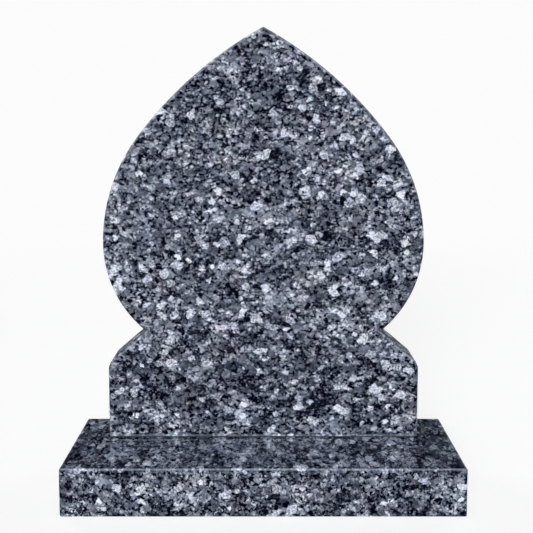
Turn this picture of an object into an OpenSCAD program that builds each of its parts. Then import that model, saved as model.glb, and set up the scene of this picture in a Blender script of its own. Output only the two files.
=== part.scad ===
// Polished granite headstone with an onion-dome outline.
// An upright tablet is bedded on a plain rectangular base and pinned to it by two steel
// dowels. X runs across the face, the face looks along -Y and Z is up. The origin lies at
// the middle of the base's underside.

/* [Base] */
// Width of the base, across the face of the stone
base_w = 762; // [720:1:1000]
// Depth of the base, from front to back
base_d = 305; // [290:1:420]
// Height of the base
base_h = 92; // [75:1:200]
// Polished arris along the top edges and upright corners of the base
base_arris = 3; // [1:0.5:8]

/* [Tablet] */
// Height of the tablet, from its foot to the point of the dome
tablet_h = 824; // [680:1:1000]
// Thickness of the tablet
tablet_t = 100; // [75:1:115]
// Distance from the base's front face to the tablet's face
tablet_setback = 178; // [60:1:185]
// Bevel worked round the front edge of the tablet
tablet_bevel = 4; // [2:0.5:15]
// Small arris round the back edge of the tablet
tablet_arris = 3; // [1:0.5:8]

/* [Dome] */
// Width of the dome at its fullest
bulb_w = 643; // [530:1:780]
// Height of the fullest part above the foot
bulb_level = 396; // [330:1:480]
// Radius of the dome below its fullest part
bulb_under_r = 232; // [195:1:280]
// Angle turned by the side arc before the flatter crown arc takes over
side_turn = 37; // [30:0.5:44]
// Pitch of the crown at the point, below the level
crown_pitch = 28.5; // [24:0.5:34]

/* [Shoulders] */
// Width of the tablet below the shoulders
body_w = 628; // [540:1:700]
// Height of the shoulder's outer corner above the foot, before rounding
shoulder_level = 151; // [125:1:185]
// Slope of the shoulders, below the level
shoulder_pitch = 40.5; // [33:0.5:47]
// Radius that rounds the shoulder into the side
shoulder_r = 30; // [20:1:60]

/* [Bed joint and dowels] */
// Thickness of the setting compound under the tablet
bed_t = 3; // [1:0.5:8]
// Depth that the joint is raked back from the tablet's faces
bed_rake = 5; // [2:0.5:15]
// Diameter of each dowel
dowel_d = 16; // [10:1:20]
// Length of each dowel
dowel_l = 120; // [80:1:150]
// Distance between the two dowels
dowel_spacing = 380; // [200:1:460]
// Stone left under the dowel holes in the base
dowel_floor = 30; // [20:1:45]
// Gap round a dowel and above its tip
dowel_clear = 0.5; // [0.2:0.1:1]

/* [Hidden] */

dowel_fn = 48;
// Turn between two points of an arc, and between two of the long flat crown arc
arc_step = 1.5;
crown_step = 0.75;

// Levels and depths that the pieces share
foot_z = base_h + bed_t;
face_y = tablet_setback - base_d / 2;
middle_y = face_y + tablet_t / 2;
dowel_top = dowel_floor + dowel_l;

// Dome outline, in the plane of the face: x from the centre line, y up from the foot.
// The side arc leaves the fullest point upright and turns through side_turn. The crown
// arc takes over without a break and reaches the point at crown_pitch, so its chord is
// square to the mean of the normals at its two ends.
bulb_half = bulb_w / 2;
crown_end = 90 - crown_pitch;
crown_mean = (side_turn + crown_end) / 2;
crown_rise = tablet_h - bulb_level;
side_r = (crown_rise - bulb_half / tan(crown_mean))
    / (sin(side_turn) - (1 - cos(side_turn)) / tan(crown_mean));
crown_chord = (bulb_half - side_r * (1 - cos(side_turn))) / sin(crown_mean);
crown_r = crown_chord / (2 * sin((crown_end - side_turn) / 2));
under_centre = [bulb_half - bulb_under_r, bulb_level];
side_centre = [bulb_half - side_r, bulb_level];
crown_centre = side_centre + (side_r - crown_r) * [cos(side_turn), sin(side_turn)];

// Shoulder outline: the rounding arc touches the upright side and then the slope, whose
// distance from the origin is slope_reach, measured along its normal
body_half = body_w / 2;
slope_turn = 90 - shoulder_pitch;
slope_normal = [cos(slope_turn), sin(slope_turn)];
round_centre = [
    body_half - shoulder_r,
    shoulder_level - shoulder_r * tan(slope_turn / 2)
];
slope_reach = round_centre * slope_normal + shoulder_r;

// The edge of the tablet from face to back, each as [inset from the rim, depth]
edge_section = [
    [tablet_bevel, 0],
    [0, tablet_bevel],
    [0, tablet_t - tablet_arris],
    [tablet_arris, tablet_t]
];

// Where the slope cuts the under arc, both moved in by the inset, as an angle of the arc
function notch_turn(inset) =
    let (slope_gap = slope_reach - inset - under_centre * slope_normal)
    slope_turn - acos(slope_gap / (bulb_under_r - inset));

// Where the crown arc, moved in by the inset, crosses the centre line
function point_turn(inset) = acos(-crown_centre.x / (crown_r - inset));

// Points of an arc, without its first one
function arc(centre, r, from, to, steps) = [
    for (i = [1 : steps])
        let (turn = from + (to - from) * i / steps)
        centre + r * [cos(turn), sin(turn)]
];

round_steps = ceil(slope_turn / (4 * arc_step));
under_steps = ceil(-notch_turn(0) / arc_step);
side_steps = ceil(side_turn / arc_step);
crown_steps = ceil((crown_end - side_turn) / crown_step);

// Right half of the tablet's outline, from its foot to the point of the dome
function half_outline(inset) = [
    [body_half - inset, 0],
    [body_half - inset, round_centre.y],
    each arc(round_centre, shoulder_r - inset, 0, slope_turn, round_steps),
    under_centre + (bulb_under_r - inset) * [cos(notch_turn(inset)), sin(notch_turn(inset))],
    each arc(under_centre, bulb_under_r - inset, notch_turn(inset), 0, under_steps),
    each arc(side_centre, side_r - inset, 0, side_turn, side_steps),
    each arc(crown_centre, crown_r - inset, side_turn, point_turn(inset), crown_steps)
];

// Whole outline, from the point down the left half and up the right half
function outline(inset) =
    let (half = half_outline(inset), last = len(half) - 1)
    [
        for (i = [last : -1 : 0]) [-half[i].x, half[i].y],
        for (i = [0 : last - 1]) half[i]
    ];

// Solid through a row of closed outlines that match point for point, each as [x, y, z].
// Its two flat ends are laid in level strips from the left half to the right, each of them
// convex, because the whole outline is pinched at the neck.
module loft(outlines) {
    n = len(outlines[0]);
    last = len(outlines) - 1;
    polyhedron(
        points = [for (ring = outlines) each ring],
        faces = [
            [0, n - 1, 1],
            for (i = [1 : (n - 3) / 2]) [i, n - i, n - i - 1, i + 1],
            for (k = [0 : last - 1], i = [0 : n - 1])
                let (j = (i + 1) % n)
                [k * n + i, k * n + j, (k + 1) * n + j, (k + 1) * n + i],
            [last * n, last * n + 1, last * n + n - 1],
            for (i = [1 : (n - 3) / 2])
                [last * n + i, last * n + i + 1, last * n + n - i - 1, last * n + n - i]
        ]
    );
}

// A dowel hole or dowel of diameter d between two levels, at each side of the centre line
module dowel_bore(side, d, low, high) {
    translate([side * dowel_spacing / 2, middle_y, low])
        cylinder(d = d, h = high - low, $fn = dowel_fn);
}

module both_dowel_holes(low, high) {
    for (side = [-1, 1])
        dowel_bore(side, dowel_d + 2 * dowel_clear, low, high);
}

module tablet() {
    color("slategray")
        difference() {
            translate([0, face_y, foot_z])
                loft([
                    for (edge = edge_section)
                        [for (p = outline(edge[0])) [p.x, edge[1], p.y]]
                ]);
            both_dowel_holes(foot_z - 1, dowel_top + dowel_clear);
        }
}

// Long square bar lying on its edge about the Z axis, whose faces lie where the sum of the
// distances from the X and Y axes is spread
module edge_bar(spread) {
    side = spread * sqrt(2);
    rotate(45)
        cube([side, side, 2 * base_w], center = true);
}

// Block standing on the origin. Its top edges and upright corners are cut off at 45 degrees.
module arrised_block(w, d, h, cut) {
    intersection() {
        translate([-w / 2, -d / 2, 0])
            cube([w, d, h]);
        edge_bar(w / 2 + d / 2 - cut);
        rotate([90, 0, 0])
            edge_bar(w / 2 + h - cut);
        rotate([0, 90, 0])
            edge_bar(d / 2 + h - cut);
    }
}

module base() {
    color("slategray")
        difference() {
            arrised_block(base_w, base_d, base_h, base_arris);
            both_dowel_holes(dowel_floor, base_h + 1);
        }
}

// Setting compound, raked back from the tablet's faces all round
module bed_joint() {
    color("dimgray")
        difference() {
            translate([-body_half + bed_rake, face_y + bed_rake, base_h])
                cube([body_w - 2 * bed_rake, tablet_t - 2 * bed_rake, bed_t]);
            both_dowel_holes(base_h - 1, foot_z + 1);
        }
}

module dowel_left() {
    color("silver")
        dowel_bore(-1, dowel_d, dowel_floor, dowel_top);
}

module dowel_right() {
    color("silver")
        dowel_bore(1, dowel_d, dowel_floor, dowel_top);
}

tablet();
base();
bed_joint();
dowel_left();
dowel_right();
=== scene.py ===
import math

import bpy
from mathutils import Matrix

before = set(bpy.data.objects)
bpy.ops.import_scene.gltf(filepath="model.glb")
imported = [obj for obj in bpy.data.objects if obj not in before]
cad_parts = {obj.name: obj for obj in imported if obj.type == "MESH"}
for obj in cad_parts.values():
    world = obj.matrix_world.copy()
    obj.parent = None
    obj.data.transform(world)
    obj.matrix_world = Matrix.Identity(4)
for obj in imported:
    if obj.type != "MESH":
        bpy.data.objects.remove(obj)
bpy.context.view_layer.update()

# --- View -----------------------------------------------------------------------------------
# Seen from in front, a little below the point of the dome, and looking slightly down.
# The frame is shifted down as well, which keeps the upright sides nearly parallel.
eye = (0.0037, -1.9006, 0.7442)
look_down = 5.83
lens_mm, film_mm = 65.597, 36.0
shift_across, shift_up = 0.00244, -0.09568

view = bpy.data.cameras.new("view")
view.lens, view.sensor_width = lens_mm, film_mm
view.shift_x, view.shift_y = shift_across, shift_up
view_object = bpy.data.objects.new("view", view)
view_object.location = eye
view_object.rotation_euler = (math.radians(90 - look_down), 0, 0)
bpy.context.collection.objects.link(view_object)
bpy.context.scene.camera = view_object
bpy.context.scene.view_settings.view_transform = "Standard"


# --- Tablet ---------------------------------------------------------------------------------
# One slab of blue-grey granite, sawn to the dome's outline, with its front and back polished.
# Interlocked feldspar crystals, some of them silvery, are held in a net of near-black grains.
# The pattern is worked out in the stone's own space, so that it runs through every edge.
class Field:
    """A number, colour or direction that changes over a surface, for use in plain sums."""

    def __init__(self, finish, socket):
        self.finish, self.socket = finish, socket

    def sum_of(self, operation, *values):
        """A sum on numbers."""
        return self.finish.node("ShaderNodeMath", {"operation": operation}, dict(enumerate(values)))

    def __add__(self, other): return self.sum_of("ADD", self, other)
    def __radd__(self, other): return self.sum_of("ADD", other, self)
    def __sub__(self, other): return self.sum_of("SUBTRACT", self, other)
    def __rsub__(self, other): return self.sum_of("SUBTRACT", other, self)
    def __mul__(self, other): return self.sum_of("MULTIPLY", self, other)
    def __rmul__(self, other): return self.sum_of("MULTIPLY", other, self)

    def most(self, other): return self.sum_of("MAXIMUM", self, other)
    def size(self): return self.sum_of("ABSOLUTE", self)
    def wave(self): return self.sum_of("SINE", self)

    def beside(self, name):
        """Another output of the node that gives this one."""
        return Field(self.finish, self.socket.node.outputs[name])

    def ramp(self, start, end, at_start=0.0, at_end=1.0):
        """Eases from at_start to at_end as the number goes up or down from start to end."""
        return self.finish.node(
            "ShaderNodeMapRange", {"interpolation_type": "SMOOTHSTEP"},
            {"Value": self, "From Min": start, "From Max": end,
             "To Min": at_start, "To Max": at_end})

    def over(self, level, soft=0.02):
        """1 where the number is over the level and 0 under it, with a soft step between."""
        return (self - level).ramp(-soft, soft)

    def swing(self, reach):
        """Up to half of reach either way, from a number between 0 and 1."""
        return reach * (self - 0.5)

    def toward(self, other, share):
        """The number moved towards another one by a share of the way."""
        return self + share * (other - self)

    def slanting(self):
        """1 on an arris that looks about halfway along the axis that this is measured on."""
        return self.ramp(0.35, 0.6) * self.ramp(0.97, 0.85)


class Finish:
    """A material whose nodes are added one by one."""

    def __init__(self, name):
        self.material = bpy.data.materials.new(name)
        self.material.use_nodes = True
        self.nodes = self.material.node_tree.nodes
        self.links = self.material.node_tree.links
        self.nodes.clear()

    def node(self, kind, settings=None, sockets=None, out=0):
        """Adds a node with its settings first and then its sockets, and gives one output."""
        made = self.nodes.new(kind)
        for name, value in (settings or {}).items():
            if name == "stops":
                steps = made.color_ramp.elements
                while len(steps) < len(value):
                    steps.new(1.0)
                for step, (place, colour) in zip(steps, value):
                    step.position, step.color = place, (*colour, 1.0)
            else:
                setattr(made, name, value)
        for name, value in (sockets or {}).items():
            if isinstance(value, Field):
                self.links.new(value.socket, made.inputs[name])
            else:
                made.inputs[name].default_value = value
        return Field(self, made.outputs[out])

    def metres(self):
        """Place on the piece, in metres from the middle of the base's underside."""
        return self.node("ShaderNodeTexCoord", out="Object")

    def place(self, offset=(0, 0, 0), turn=(0, 0, 0), stretch=(1, 1, 1)):
        """Place on the piece in millimetres, stretched, turned and moved."""
        return self.node("ShaderNodeMapping", {"vector_type": "POINT"},
                         {"Vector": self.metres(), "Location": offset,
                          "Rotation": tuple(math.radians(t) for t in turn),
                          "Scale": tuple(1000 * s for s in stretch)})

    def cells(self, place, size):
        """Packed grains about size millimetres across, each with its own random colour."""
        return self.node("ShaderNodeTexVoronoi", {"feature": "F1"},
                         {"Vector": place, "Scale": 1 / size}, "Color")

    def cloud(self, place, size, detail=2.0, rough=0.5, out="Fac"):
        """Soft patches about size millimetres across."""
        return self.node("ShaderNodeTexNoise", None,
                         {"Vector": place, "Scale": 1 / size, "Detail": detail,
                          "Roughness": rough}, out)

    def vector(self, operation, *values, out=0):
        """A sum on colours, places or directions."""
        return self.node("ShaderNodeVectorMath", {"operation": operation},
                         dict(enumerate(values)), out)

    def moved(self, place, push, reach):
        """The place pushed about by a colour, by up to half of reach each way."""
        return self.vector("MULTIPLY_ADD", push, (reach,) * 3,
                           self.vector("SUBTRACT", place, (reach / 2,) * 3))

    def parts(self, colour):
        """The three numbers of a colour or a direction."""
        return [self.node("ShaderNodeSeparateColor", None, {0: colour}, i) for i in range(3)]

    def blend(self, share, first, second, way="MIX"):
        """The first colour, with a share of the second mixed, multiplied or added in."""
        return self.node("ShaderNodeMix", {"data_type": "RGBA", "blend_type": way},
                         {0: share, 6: first, 7: second}, 2)

    def shade(self, stops, number):
        """The colour that the number picks from a row of stops."""
        return self.node("ShaderNodeValToRGB", {"stops": stops}, {"Fac": number})

    def done(self, **sockets):
        """Ends in one surface shader."""
        named = {name.replace("_", " "): value for name, value in sockets.items()}
        surface = self.node("ShaderNodeBsdfPrincipled", None, named)
        end = self.nodes.new("ShaderNodeOutputMaterial")
        self.links.new(surface.socket, end.inputs["Surface"])
        return self.material


def srgb(r, g, b):
    """A colour given in the usual 0 to 255 steps, as linear light."""
    return tuple(v / 3294.6 if v <= 10.31 else ((v / 255 + 0.055) / 1.055) ** 2.4
                 for v in (r, g, b))


def blue_grey(brightness):
    """The stone's own tint at a brightness in the usual 0 to 255 steps."""
    return srgb(max(brightness - 6.5, 0), brightness, min(brightness + 15, 255))


# Brightness of the stone from its darkest grains to its brightest flashes
brightness_at = {0.00: 0, 0.14: 3, 0.22: 14, 0.30: 42, 0.38: 74, 0.46: 98, 0.54: 122,
                 0.64: 158, 0.76: 202, 0.88: 236, 1.00: 250}
shades = [(tone, blue_grey(brightness)) for tone, brightness in brightness_at.items()]

# What the stone is made of, in millimetres across
crystal_mm, grain_mm, chip_mm, fleck_mm = 17.0, 11.0, 6.0, 4.0
wisp_mm, drift_mm, patch_mm = 30.0, 60.0, 70.0
# The grains' outlines wander in and out over ragged_mm, by up to ragged_reach_mm in all
ragged_mm, ragged_reach_mm = 8.0, 10.0

# Shares of the crystals that are of one even tone and that are silvery, of the grains that
# flash, and of the chips that are near-black, singly and more of them in a wisp
even_share, silver_share, flash_share = 0.2, 0.055, 0.045
dark_share, wisp_share = 0.10, 0.42

# Pale colour added to the stone's own along the arrises: a painted highlight, partly standing for
# their honed wear
highlight_and_wear_colour = (0.17, 0.20, 0.25, 1)


def granite(name, offset, turn, stretch, polish, pale_highlight_and_wear, coat_index, painted_reflection_tint=None):
    """The stone, given where it was cut from the block and how its faces are worked.

    polish says how far a face that looks along x, y, z is polished, and the argument after it how
    far such a face is painted pale at a height: a painted highlight along the arrises, partly
    standing for their honed wear. The real reflection is all in the polish, a clear coat:
    coat_index says how strongly it mirrors. The last argument is a tint multiplied into a fully
    polished face, a painted reflection.
    """
    stone = Finish(name)
    here = stone.place(offset, turn, stretch)
    push = stone.cloud(here, ragged_mm, 3.0, 0.65, "Color")
    ragged = stone.moved(here, push, ragged_reach_mm)
    crystal, grain, chip = (stone.cells(ragged, size) for size in (crystal_mm, grain_mm, chip_mm))
    crystal_tone, crystal_pick = stone.parts(crystal)[:2]
    grain_tone, grain_pick = stone.parts(grain)[:2]
    chip_tone, chip_pick = stone.parts(chip)[:2]
    fleck = stone.cloud(here, fleck_mm, 3.0, 0.6)
    patch = stone.cloud(here, patch_mm, 1.0, 0.5)

    mean_tone = 0.535
    tone = (mean_tone + grain_tone.swing(0.34) + chip_tone.swing(0.24)
            + crystal_tone.swing(0.16) + fleck.swing(0.40) + patch.swing(0.50))
    # Each grain is palest in its middle and darkens to its seam
    halfway = 0.42
    tone = (tone + 0.22 * (halfway - grain.beside("Distance"))
            + 0.30 * (halfway - chip.beside("Distance")))
    # A few big crystals are one even tone
    even = 1 - crystal_pick.over(even_share)
    tone = tone.toward(0.5 + crystal_tone.swing(0.25), 0.6 * even)
    # Silvery crystals are streaked by their cleavage, and small ones flash whole
    lie = stone.vector("SUBTRACT", crystal, (0.5,) * 3)
    streak = (stone.vector("DOT_PRODUCT", ragged, lie, out="Value") * 2.4).wave()
    silver = crystal_pick.over(1 - silver_share, 0.01)
    silver_tone = 0.76 + 0.2 * crystal_tone + 0.08 * streak + fleck.swing(1.3)
    tone = tone.toward(silver_tone, 0.75 * silver)
    tone = tone + 0.25 * grain_pick.over(1 - flash_share)
    # Near-black chips are scattered singly and crowd into wisps between the crystals
    wisp = 1 - (stone.cloud(ragged, wisp_mm, 2.0, 0.5) - 0.5).size().ramp(0.0, 0.05)
    dark = (dark_share + wisp_share * wisp).over(chip_pick) * (1 - 0.7 * silver)
    tone = tone - 0.40 * dark

    # The tint drifts a little from place to place, between violet and green
    drift = stone.cloud(here, drift_mm, 3.0, 0.7, "Color")
    tint = stone.vector("MULTIPLY_ADD", drift, (0.32, 0.0, 0.36), (0.84, 1.0, 0.82))
    colour = stone.vector("MULTIPLY", stone.shade(shades, tone), tint)
    facing = stone.parts(stone.node("ShaderNodeNewGeometry", out="Normal"))
    height = stone.node("ShaderNodeSeparateXYZ", None, {0: stone.metres()}, 2)
    shine = polish(*facing)
    # A fully polished face is painted paler and bluer here, a painted reflection of what it mirrors
    if painted_reflection_tint:
        colour = stone.blend(shine, colour, painted_reflection_tint, "MULTIPLY")
    # Pale painted highlight along the arrises, partly standing for their honed wear
    colour = stone.blend(pale_highlight_and_wear(*facing, height), colour, highlight_and_wear_colour, "ADD")

    # The darkest grains polish less well than the rest
    relief = stone.node("ShaderNodeBump", None, {"Strength": 0.25, "Distance": 0.0002,
                                                 "Height": 0.5 * fleck - 0.5 * dark})
    return stone.done(
        Base_Color=colour, Roughness=0.3 + 0.3 * dark - 0.15 * silver, Normal=relief,
        Specular_IOR_Level=0.0, Coat_Weight=shine * (1 - 0.8 * tone.ramp(0.45, 0.2)),
        Coat_Roughness=0.02, Coat_IOR=coat_index)


def ease(node, width):
    """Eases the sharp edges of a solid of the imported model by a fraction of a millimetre."""
    same_point, same_plane, sharp = 0.00001, math.radians(0.05), math.radians(20)
    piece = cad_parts[node]
    weld = piece.modifiers.new("join_corners", "WELD")
    weld.merge_threshold = same_point
    flat = piece.modifiers.new("join_flats", "DECIMATE")
    flat.decimate_type, flat.angle_limit = "DISSOLVE", same_plane
    eased = piece.modifiers.new("eased_edges", "BEVEL")
    eased.width, eased.segments = width, 2
    eased.limit_method, eased.angle_limit = "ANGLE", sharp
    smooth = piece.modifiers.new("smooth", "WEIGHTED_NORMAL")
    smooth.weight = 100
    smooth.keep_sharp = False


def paint(node, finish):
    """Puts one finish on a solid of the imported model."""
    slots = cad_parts[node].data.materials
    slots.clear()
    slots.append(finish)


def tablet_polish(x, y, z):
    """Front, back and bevels are polished, and the sawn edge is only honed."""
    return y.size().ramp(0.2, 0.6, 0.12, 1.0)


def tablet_highlight_and_wear(x, y, z, height):
    """A highlight is painted pale on the front bevel where it looks up, on the back arris and along
    the foot, partly standing for their honed wear.
    """
    foot_highlight_full_to, foot_highlight_gone_at = 0.0975, 0.1005
    front = 0 - y
    # Painted paler where the front bevel looks up, as if lit from above
    bevel = front.slanting() * z.ramp(0.1, 0.4)
    # Painted highlight along the front of the foot
    foot = height.ramp(foot_highlight_gone_at, foot_highlight_full_to) * front.ramp(0.3, 0.6)
    return 0.7 * bevel + 0.5 * y.slanting() + 0.55 * foot


paint("tablet", granite(
    "granite_tablet", offset=(-2310, -620, 440), turn=(0, 12, 0), stretch=(1.05, 1.0, 1.25),
    polish=tablet_polish, pale_highlight_and_wear=tablet_highlight_and_wear, coat_index=1.22))
ease("tablet", 0.0012)


# --- Base -----------------------------------------------------------------------------------
# A plain block of the same granite, laid level and polished, with a small arris along its top
# edges and upright corners. Its top is brought to a full mirror, and its colour there is painted
# paler and bluer as a painted reflection; its top arris gets a pale painted highlight.
def base_polish(x, y, z):
    """The top is a mirror, and the upright faces have only a soft shine."""
    return z.ramp(0.8, 0.95, 0.028, 1.0)


def base_highlight_and_wear(x, y, z, height):
    """A highlight is painted pale along the arris at the top, partly standing for its honed wear.
    """
    return z.slanting()


# The base's top gets a painted reflection tint, and its top arris a painted highlight
paint("base", granite(
    "granite_base", offset=(-720, 530, 260), turn=(0, 0, 0), stretch=(1.2, 0.72, 1.25),
    polish=base_polish, pale_highlight_and_wear=base_highlight_and_wear, coat_index=4.0, painted_reflection_tint=(1.02, 1.07, 1.14, 1)))
ease("base", 0.0007)

# --- Bed joint ------------------------------------------------------------------------------
# A thin bed of dark setting compound between tablet and base, raked back from the faces.
# It is gritty and matt.
bed = Finish("setting_compound")
sand = bed.cloud(bed.place(), 1.2, 3.0, 0.7)
paint("bed_joint", bed.done(
    Base_Color=bed.shade([(0.3, srgb(56, 58, 63)), (0.7, srgb(84, 86, 92))], sand),
    Roughness=sand.ramp(0.2, 0.8, 0.75, 0.95)))

# --- Dowels ---------------------------------------------------------------------------------
# Two plain stainless bars across the joint, hidden in their drilled holes.
# They keep the fine scratches of the drawn bar.
bar = Finish("steel")
scratch = bar.cloud(bar.place(stretch=(1, 1, 0.05)), 0.6, 2.0, 0.6)
steel = bar.done(
    Base_Color=bar.shade([(0.3, srgb(168, 168, 170)), (0.7, srgb(200, 200, 202))], scratch),
    Metallic=1.0, Roughness=scratch.ramp(0.2, 0.8, 0.28, 0.42))
for node in ("dowel_left", "dowel_right"):
    paint(node, steel)

# --- Floor ----------------------------------------------------------------------------------
# A plain pale sheet, turned up all round into a wall as in a studio. It is seen white, and
# keeps the shadow of the stone. The wall ends low, so that the base's top mirrors little of it.
floor_rings = (0.0, 0.5, 1.0, 2.0, 3.0, 4.0, 6.0)
wall_bend, wall_top = 2.0, 2.42
turns, bend_steps = 96, 12
# Brightness of the sheet as seen, and the part of it that the lamps give on the flat
floor_white, floor_lit = 0.97, 0.27
# Distances over which the sheet's own light takes over from the lamps
lit_to, own_from = 2.5, 4.5

floor_radius = floor_rings[-1]
bend_turns = [math.pi / 2 * i / bend_steps for i in range(1, bend_steps + 1)]
profile = [(r, 0.0) for r in floor_rings]
profile += [(floor_radius + wall_bend * math.sin(a), wall_bend * (1 - math.cos(a)))
            for a in bend_turns]
profile += [(floor_radius + wall_bend, wall_top)]
points, faces = [(0.0, 0.0, 0.0)], []
for r, z in profile[1:]:
    points += [(r * math.cos(a), r * math.sin(a), z)
               for a in (2 * math.pi * i / turns for i in range(turns))]
for i in range(turns):
    j = (i + 1) % turns
    faces.append((0, 1 + i, 1 + j))
    for k in range(len(profile) - 2):
        low, high = 1 + k * turns, 1 + (k + 1) * turns
        faces.append((low + i, high + i, high + j, low + j))
sheet = bpy.data.meshes.new("floor")
sheet.from_pydata(points, [], faces)
sheet.shade_smooth()

floor = Finish("pale_sheet")
seen = floor.node("ShaderNodeLightPath", out="Is Camera Ray")
seen = seen.most(seen.beside("Is Glossy Ray")).most(seen.beside("Is Transmission Ray"))
away = floor.vector("LENGTH", floor.metres(), out="Value").ramp(lit_to, own_from)
own_light = seen * (floor_white - floor_lit * (1 - away))
own_grey = floor.node("ShaderNodeCombineColor", None,
                      {0: own_light, 1: own_light, 2: own_light})
sheet.materials.append(floor.done(
    Base_Color=floor.blend(away, (0.5, 0.5, 0.5, 1), (0, 0, 0, 1)), Roughness=0.9,
    Specular_IOR_Level=0.0, Emission_Color=own_grey, Emission_Strength=1.0))
floor_object = bpy.data.objects.new("floor", sheet)
floor_object.visible_shadow = False
bpy.context.collection.objects.link(floor_object)


# --- Light ----------------------------------------------------------------------------------
# Broad soft lamps: one low in front, two low behind at the sides and a weak one overhead.
# The polish mirrors the floor, the wall and the stone, but none of the lamps.
def lamp(name, azimuth, elevation, spread, strength):
    """A broad soft lamp far away, azimuth degrees round from the front towards the right."""
    light = bpy.data.lights.new(name, "SUN")
    light.angle, light.energy = math.radians(spread), strength * math.pi
    rig = bpy.data.objects.new(name, light)
    rig.rotation_euler = (math.radians(90 - elevation), 0, math.radians(azimuth))
    rig.visible_glossy = False
    bpy.context.collection.objects.link(rig)


lamp("key", azimuth=-8, elevation=14, spread=25, strength=0.79)
lamp("side_left", azimuth=-138, elevation=8, spread=25, strength=0.44)
lamp("side_right", azimuth=138, elevation=8, spread=25, strength=0.44)
lamp("overhead", azimuth=0, elevation=75, spread=50, strength=0.20)

room_colour, room_strength = (0.90, 0.96, 1.08, 1), 0.02
studio = bpy.data.worlds.new("studio")
studio.use_nodes = True
room = studio.node_tree.nodes["Background"].inputs
room["Color"].default_value, room["Strength"].default_value = room_colour, room_strength
bpy.context.scene.world = studio
